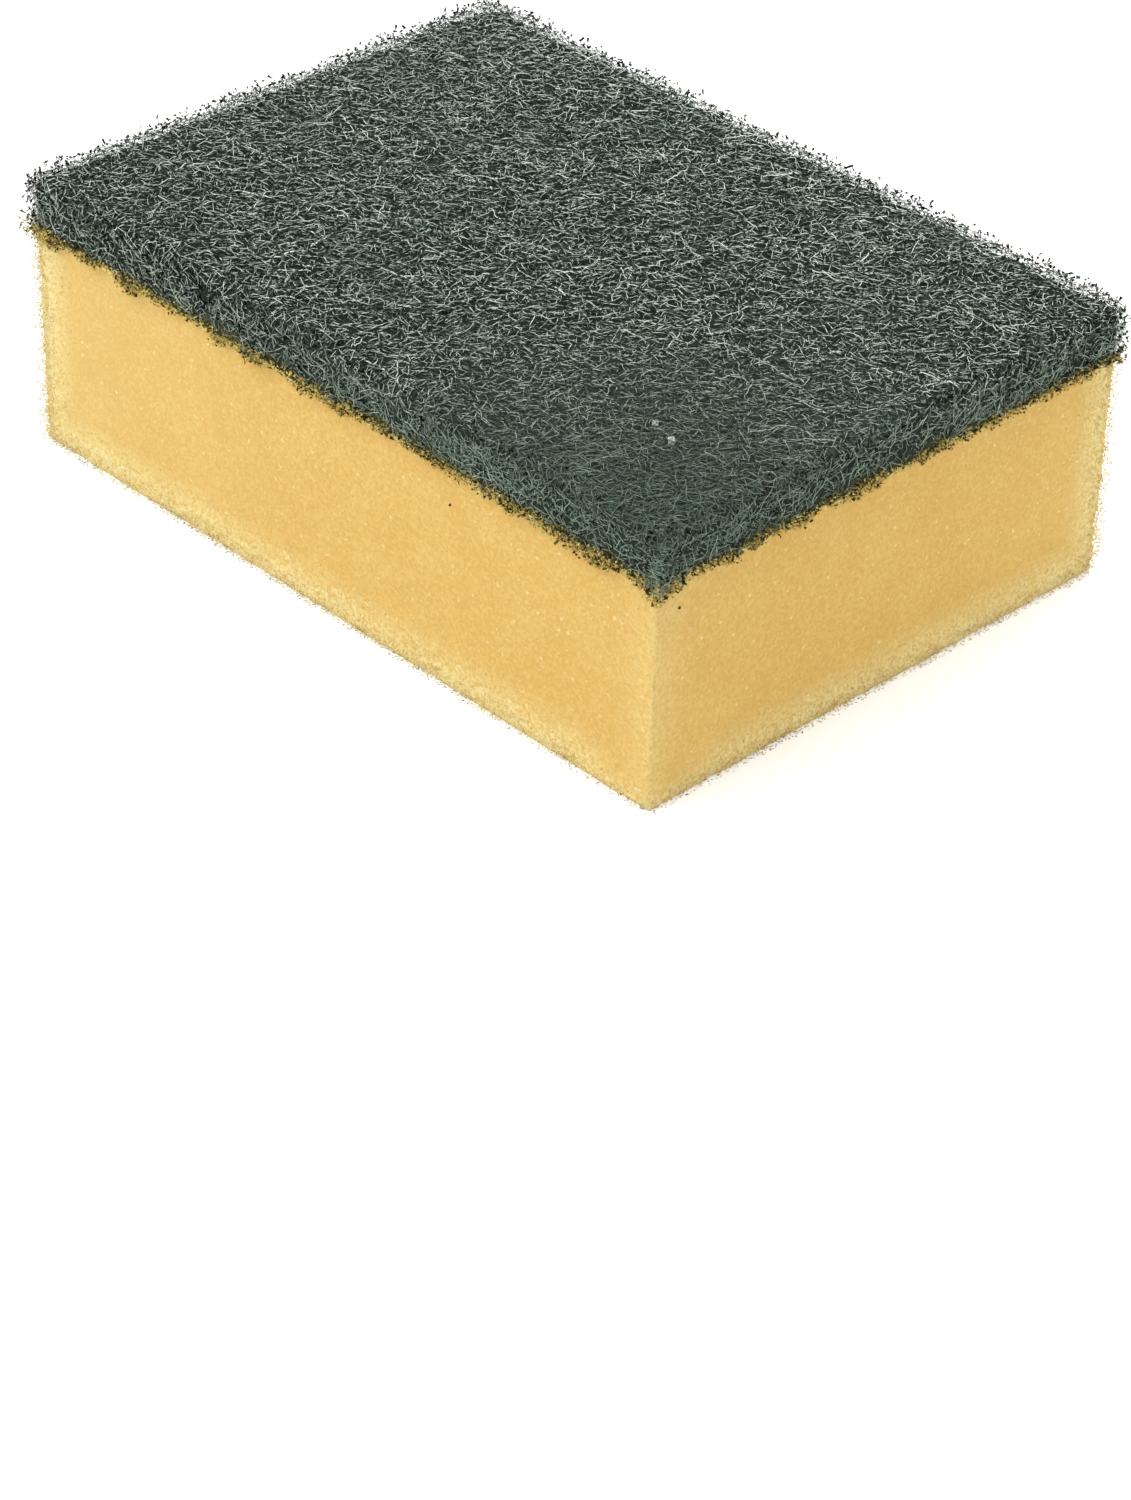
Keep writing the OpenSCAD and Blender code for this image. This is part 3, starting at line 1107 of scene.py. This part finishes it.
def film_mesh(bond, low, high):
    """A thin slab whose rim runs in and out."""
    ring = np.array(rim_of(low, high, bond.step))
    middle = np.array(((low.x + high.x) / 2, (low.y + high.y) / 2))
    out = ring - middle
    out = np.sign(out) * (np.abs(out) > np.abs(np.array((high.x, high.y)) - middle) - HAIR)
    rows = (low.z, (low.z + high.z) / 2, high.z)
    places = []
    for height in rows:
        flat = np.column_stack([ring, np.full(len(ring), height)])
        run = bond.ragged * (lumps(flat, 0.9 * MM, 3) + 0.6 * lumps(flat, 3 * MM, 6) - 0.3)
        flat[:, :2] += out * run[:, None]
        places.append(flat)
    n = len(ring)
    faces = [tuple(range((len(rows) - 1) * n, len(rows) * n)), tuple(range(n - 1, -1, -1))]
    for row in range(len(rows) - 1):
        a, b = row * n, (row + 1) * n
        faces += [(a + i, a + (i + 1) % n, b + (i + 1) % n, b + i) for i in range(n)]
    return mesh_of("bond_film_melt", np.concatenate(places), faces)


def rim_of(low, high, step):
    """Points about step apart round a rectangle, anticlockwise."""
    corners = [(low.x, low.y), (high.x, low.y), (high.x, high.y), (low.x, high.y)]
    ring = []
    for (ax, ay), (bx, by) in zip(corners, corners[1:] + corners[:1]):
        parts = max(2, round(math.dist((ax, ay), (bx, by)) / step))
        ring += [(ax + (bx - ax) * i / parts, ay + (by - ay) * i / parts) for i in range(parts)]
    return ring


class SPONGE_OT_web_core(bpy.types.Operator):
    """Build the dense core of the scouring pad"""

    bl_idname = "sponge.web_core"
    bl_label = "Web core"

    def execute(self, context):
        web = context.scene.sponge_web
        low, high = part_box("scouring_pad")
        low = low + Vector((web.core_far, web.core_near, 0.0))
        high = high - Vector((web.core_near, web.core_far, web.core_top))
        places, faces = box_skin(low, high, web.step)
        # The foot edge lies on the film and stays sharp.
        skin, out = rounded(places, low - upright(web.roll), high, (web.roll,) * 3)
        stray = 0.35 * MM * lumps(skin, 1.6 * MM, 7) + 0.15 * MM * lumps(skin, 6 * MM, 8)
        skin = skin + out * stray[:, None]
        skin[:, 2] = np.maximum(skin[:, 2], low.z)
        piece = object_of(mesh_of("web_core", skin, faces), core_material(web))
        fasten(piece, "web", "scouring_pad")
        return {"FINISHED"}


class SPONGE_OT_web_fibres(bpy.types.Operator):
    """Lay the scouring pad's fibres: deep ones, a few long ones and layers of short curls"""

    bl_idname = "sponge.web_fibres"
    bl_label = "Web fibres"

    def execute(self, context):
        web = context.scene.sponge_web
        low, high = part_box("scouring_pad")
        lay = (math.cos(web.lay), math.sin(web.lay), 0.0)
        finish = fibre_material(web)
        skin = web_skin(web, "web_skin", 0.4 * MM)
        fibres = fibre_tree()
        layers = (
            # name, fibres per square mm, length, radius, least and most depth, points, seed
            ("web_deep", 0.08, 4.6 * MM, 1.5 * web.fibre_r, 0.7 * MM, 1.4 * MM, 7, 41),
            ("web_long", 0.14, 3.6 * MM, web.fibre_r, 0.0 * MM, 0.5 * MM, 9, 42),
        )
        for name, density, reach, radius, least, most, steps, seed in layers:
            values = {
                "Density": density / MM**2, "Length": reach, "Radius": radius, "Lay": lay,
                "Lay Spread": web.lay_spread, "Crimp": web.crimp, "Crimp Length": web.crimp_l,
                "Depth Low": least, "Depth High": most, "Heave": 0.4 * MM, "Wander": web.wander,
                "Wander Length": 7 * MM, "Hollow": web.hollow, "Hollow Length": 3 * MM,
                "Low": low, "High": high, "Roll": web.roll, "Droop": web.droop,
                "Steps": steps, "Seed": seed, "Material": finish,
            }
            fasten(grown(name, fibres, skin, values), "web")

        write_values(skin, "weight", 1.0 - 0.75 * far_side(places_of(skin), low, high))
        layers = (
            # name, rings, spacing, share of the length, least and most depth, seed
            ("web_curls_deep", 2, 0.60 * MM, 1.15, 0.45 * MM, 0.85 * MM, 43),
            ("web_curls_middle", 2, 0.41 * MM, 1.05, 0.25 * MM, 0.8 * MM, 44),
            ("web_curls_upper", 2, 0.41 * MM, 0.95, 0.1 * MM, 0.55 * MM, 46),
            ("web_curls_top", 3, 0.57 * MM, 1.2, -0.05 * MM, 0.4 * MM, 45),
        )
        for name, rings, spacing, share, least, most, seed in layers:
            sizes = (spacing, share * web.curl_l, web.curl_w, 0.3, least, most)
            strew_curls(name, rings, skin, 2.0 / spacing**2, sizes, lay, web.lay_spread, seed, finish)
        return {"FINISHED"}


def strew_curls(name, rings, skin, density, sizes, lay, lay_spread, seed, finish):
    """Strews short curls over a skin. The sizes are spacing, length, width, lean, least and most depth."""
    values = {"Density": density, "Lay": lay, "Lay Spread": lay_spread, "Seed": seed, "Material": finish}
    values.update(zip(("Spacing", "Length", "Width", "Lean", "Depth Low", "Depth High"), sizes))
    fasten(grown(name, curl_tree(rings), skin, values), "web")


def far_side(places, low, high):
    """Where the pad's back sides are, from 0 to 1. Their fibres stand looser than those of the front."""
    inside = np.minimum(places[:, 0] - low.x, high.y - places[:, 1])
    return np.clip(2.0 - inside / (0.9 * MM), 0.0, 1.0)


def web_skin(web, name, lift):
    """The pad's rolled outside from lift above its foot, for fibres to be strewn on."""
    low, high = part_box("scouring_pad")
    low = low + upright(lift)
    places, faces = box_skin(low, high, 0.8 * MM)
    skin, out = rounded(places, low - upright(web.roll), high, (web.roll,) * 3)
    inside = inside_of(skin, low, high)[:, :2].min(axis=1)
    swell = web.billow * (lumps(skin, 7 * MM, 12) + 0.6 * lumps(skin, 2.5 * MM, 13))
    skin = skin + out * (swell * np.clip(1.0 - inside / (3 * MM), 0.0, 1.0))[:, None]
    mesh = mesh_of(name, skin, [f for f in faces if not np.all(places[list(f), 2] < low.z + HAIR)])
    hang_down(mesh, web, low.z + 3 * MM)
    return mesh


class SPONGE_OT_loose_ends(bpy.types.Operator):
    """Strew loose fibre ends along the pad's edges, in a tuft at its front corner and down over the seam"""

    bl_idname = "sponge.loose_ends"
    bl_label = "Loose ends"

    def execute(self, context):
        web = context.scene.sponge_web
        low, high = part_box("scouring_pad")
        front = (high.x, low.y)
        across = ((0.7, 0.7, 0.0), 2.6)  # the lay of all loose ends, and their lay spread
        skin = web_skin(web, "web_edge", 0.2 * MM)
        places = places_of(skin)
        side = inside_of(places, low, high)[:, :2].min(axis=1)
        at_front = away_from(places, front) < 2.5 * MM
        share = np.where(at_front, 1.0, 0.35 + 0.65 * far_side(places, low, high))
        write_values(skin, "weight", np.clip(1.2 - side / (1.8 * MM), 0, 1) * share)
        sizes = (0.36 * MM, 0.5 * MM, 3.6 * web.curl_w, 1.4, -0.45 * MM, 0.7 * MM)
        strew_curls("web_ends", 2, skin, 14.0 / MM**2, sizes, *across, 51, ends_material(web))

        write_values(skin, "weight", swell_at(places, front, 2.4 * MM) * (places[:, 2] < low.z + 2.5 * MM))
        sizes = (0.22 * MM, 1.3 * MM, web.curl_w, 0.5, -0.2 * MM, 0.5 * MM)
        strew_curls("web_tuft", 3, skin, 40.0 / MM**2, sizes, *across, 53, fibre_material(web))

        inset, over = Vector((0.2 * MM, 0.2 * MM, 0.0)), 1.0 * MM
        head = high - inset + upright(low.z - high.z + over)
        band = band_mesh("seam_edge", low + inset + upright(-0.35 * MM), head, 0.5 * MM)
        hang_down(band, web, low.z + over)
        write_values(band, "weight", 1.0 - 0.7 * swell_at(places_of(band), front, 3 * MM))
        sizes = (0.42 * MM, 0.8 * MM, 0.17 * MM, 1.4, -0.25 * MM, 0.3 * MM)
        finish = seam_material(context.scene.sponge_bond, web)
        strew_curls("seam_ends", 2, band, 13.0 / MM**2, sizes, *across, 52, finish)
        return {"FINISHED"}


class SPONGE_OT_specks(bpy.types.Operator):
    """Place the specks of dirt on the foam and the pale grit on the pad"""

    bl_idname = "sponge.specks"
    bl_label = "Specks"

    def execute(self, context):
        low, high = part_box("foam_block")
        x, y, top = high.x, low.y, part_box("scouring_pad")[1].z - 0.25 * MM
        foam = ((x, y + 3.1 * MM, 23.8 * MM), (x - 30.6 * MM, y, 22.9 * MM))
        pad = ((x - 11.4 * MM, y + 12.8 * MM, top), (x - 14.9 * MM, y + 13.9 * MM, top))
        dirt = speck_material("dirt", linear(52, 40, 26), linear(96, 74, 44))
        grit = speck_material("grit", linear(128, 138, 128), linear(196, 202, 192))
        fasten(object_of(specks("foam_specks", foam, 0.34 * MM, 61), dirt), "foam")
        fasten(object_of(specks("web_grit", pad, 0.8 * MM, 62), grit), "web")
        return {"FINISHED"}


def specks(name, places, size, seed):
    """A lump of about that size at each place."""
    shape = bmesh.new()
    for place in map(Vector, places):
        at = Matrix.Translation(place)
        made = bmesh.ops.create_icosphere(shape, subdivisions=2, radius=size / 2, matrix=at)
        for corner, swell in zip(made["verts"], lumps([v.co for v in made["verts"]], size / 3, seed)):
            corner.co = place + (corner.co - place) * (1.0 + 0.9 * swell)
    mesh = bpy.data.meshes.new(name)
    shape.to_mesh(mesh)
    shape.free()
    return mesh


class SPONGE_OT_stage(bpy.types.Operator):
    """Set out the floor, the lamps and the camera"""

    bl_idname = "sponge.stage"
    bl_label = "Stage"

    def execute(self, context):
        stage = context.scene.sponge_stage
        build_floor(stage)
        build_world(context.scene, stage)
        build_lamps(stage)
        build_camera(context.scene, stage)
        return {"FINISHED"}


WHITE = (1.0, 1.0, 1.0)
FLOOR_HALF = 3.0  # half the floor's width, in metres
FLOOR_LIFT = 0.35  # the light that the camera sees the floor give off
LAMPS = (  # the setting that holds its power, its place and its width
    ("key", (-0.25, -0.45, 0.75), 0.6),
    ("fill", (0.7, 0.1, 0.4), 0.5),
    ("back", (0.03, 0.15, 0.22), 0.15),
)
SENSOR_MM = 36.0
CLIP_START = 0.01


def seen(g):
    """1 for rays from the camera and for those that gloss or glass passes on, and 0 for all others."""
    path = g.add("ShaderNodeLightPath").outputs
    passed_on = g.maths("MAXIMUM", path["Is Glossy Ray"], path["Is Transmission Ray"])
    return g.maths("MAXIMUM", path["Is Camera Ray"], passed_on)


def build_floor(stage):
    """A pale floor that shows white to the camera and keeps the sponge's shadow."""
    places = FLOOR_HALF * np.array([(-1, -1, 0), (1, -1, 0), (1, 1, 0), (-1, 1, 0)])
    made, g, shader, _ = material("floor", 0.9, 0.1)
    g.feed(shader, "Base Color", (stage.floor,) * 3)
    lifted = g.first("ShaderNodeEmission", Color=WHITE, Strength=g.times(seen(g), FLOOR_LIFT))
    both = g.first("ShaderNodeAddShader", shader.outputs[0], lifted)
    output = next(n for n in made.node_tree.nodes if n.type == "OUTPUT_MATERIAL")
    g.feed(output, "Surface", both)
    floor = object_of(mesh_of("floor", places, [(0, 1, 2, 3)], smooth=False), made)


def build_world(scene, stage):
    """Even light from all round, which the camera sees as white."""
    world = bpy.data.worlds.new("studio")
    world.use_nodes = True
    world.node_tree.nodes.clear()
    g = Graph(world.node_tree)
    strength = g.line(seen(g), 1.0 - stage.world, stage.world)
    g.add("ShaderNodeOutputWorld", Surface=g.first("ShaderNodeBackground", Color=WHITE, Strength=strength))
    scene.world = world


def build_lamps(stage):
    """A large soft lamp over the left side, a weaker one on the right and a small one over the far corner."""
    target = (CAD_BOUNDS[0] + CAD_BOUNDS[1]) / 2
    for name, place, size in LAMPS:
        lamp = bpy.data.lights.new(name, "AREA")
        lamp.energy = getattr(stage, name)
        lamp.size = size
        holder = bpy.data.objects.new(name, lamp)
        holder.location = place
        holder.rotation_euler = (target - Vector(place)).to_track_quat("-Z", "Y").to_euler()
        bpy.context.scene.collection.objects.link(holder)


def build_camera(scene, stage):
    """The camera looks at a point on the floor beside the sponge's front corner."""
    low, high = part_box("foam_block")
    aim = Vector((high.x - stage.aim_x, low.y + stage.aim_y, 0.0))
    level, rise = math.cos(stage.elevation), math.sin(stage.elevation)
    back = Vector((math.sin(stage.azimuth) * level, -math.cos(stage.azimuth) * level, rise))
    camera = bpy.data.cameras.new("camera")
    camera.sensor_width = SENSOR_MM
    camera.lens = stage.lens
    camera.clip_start = CLIP_START
    holder = bpy.data.objects.new("camera", camera)
    turn = (-back).to_track_quat("-Z", "Y").to_matrix().to_4x4() @ Matrix.Rotation(stage.roll, 4, "Z")
    holder.matrix_world = Matrix.Translation(aim + back * stage.distance) @ turn
    scene.collection.objects.link(holder)
    scene.camera = holder
    scene.view_settings.view_transform = "Standard"


class SPONGE_PT_panel(bpy.types.Panel):
    """Lists the steps that build the sponge"""

    bl_label = "Cleaning Sponge"
    bl_idname = "SPONGE_PT_panel"
    bl_space_type = "VIEW_3D"
    bl_region_type = "UI"
    bl_category = "Sponge"

    def draw(self, context):
        for operator in STEPS:
            self.layout.operator(operator.bl_idname)


STEPS = (
    SPONGE_OT_foam_block,
    SPONGE_OT_foam_walls,
    SPONGE_OT_bond_film,
    SPONGE_OT_web_core,
    SPONGE_OT_web_fibres,
    SPONGE_OT_loose_ends,
    SPONGE_OT_specks,
    SPONGE_OT_stage,
)
SETTINGS = {
    "sponge_foam": FoamSettings,
    "sponge_bond": BondSettings,
    "sponge_web": WebSettings,
    "sponge_stage": StageSettings,
}


def register():
    for cls in (*SETTINGS.values(), *STEPS, SPONGE_PT_panel):
        bpy.utils.register_class(cls)
    for name, cls in SETTINGS.items():
        setattr(bpy.types.Scene, name, bpy.props.PointerProperty(type=cls))


def unregister():
    for name in SETTINGS:
        delattr(bpy.types.Scene, name)
    for cls in (SPONGE_PT_panel, *reversed(STEPS), *SETTINGS.values()):
        bpy.utils.unregister_class(cls)


def main():
    register()
    for operator in STEPS:
        group, name = operator.bl_idname.split(".")
        getattr(getattr(bpy.ops, group), name)()


if __name__ == "__main__":
    main()
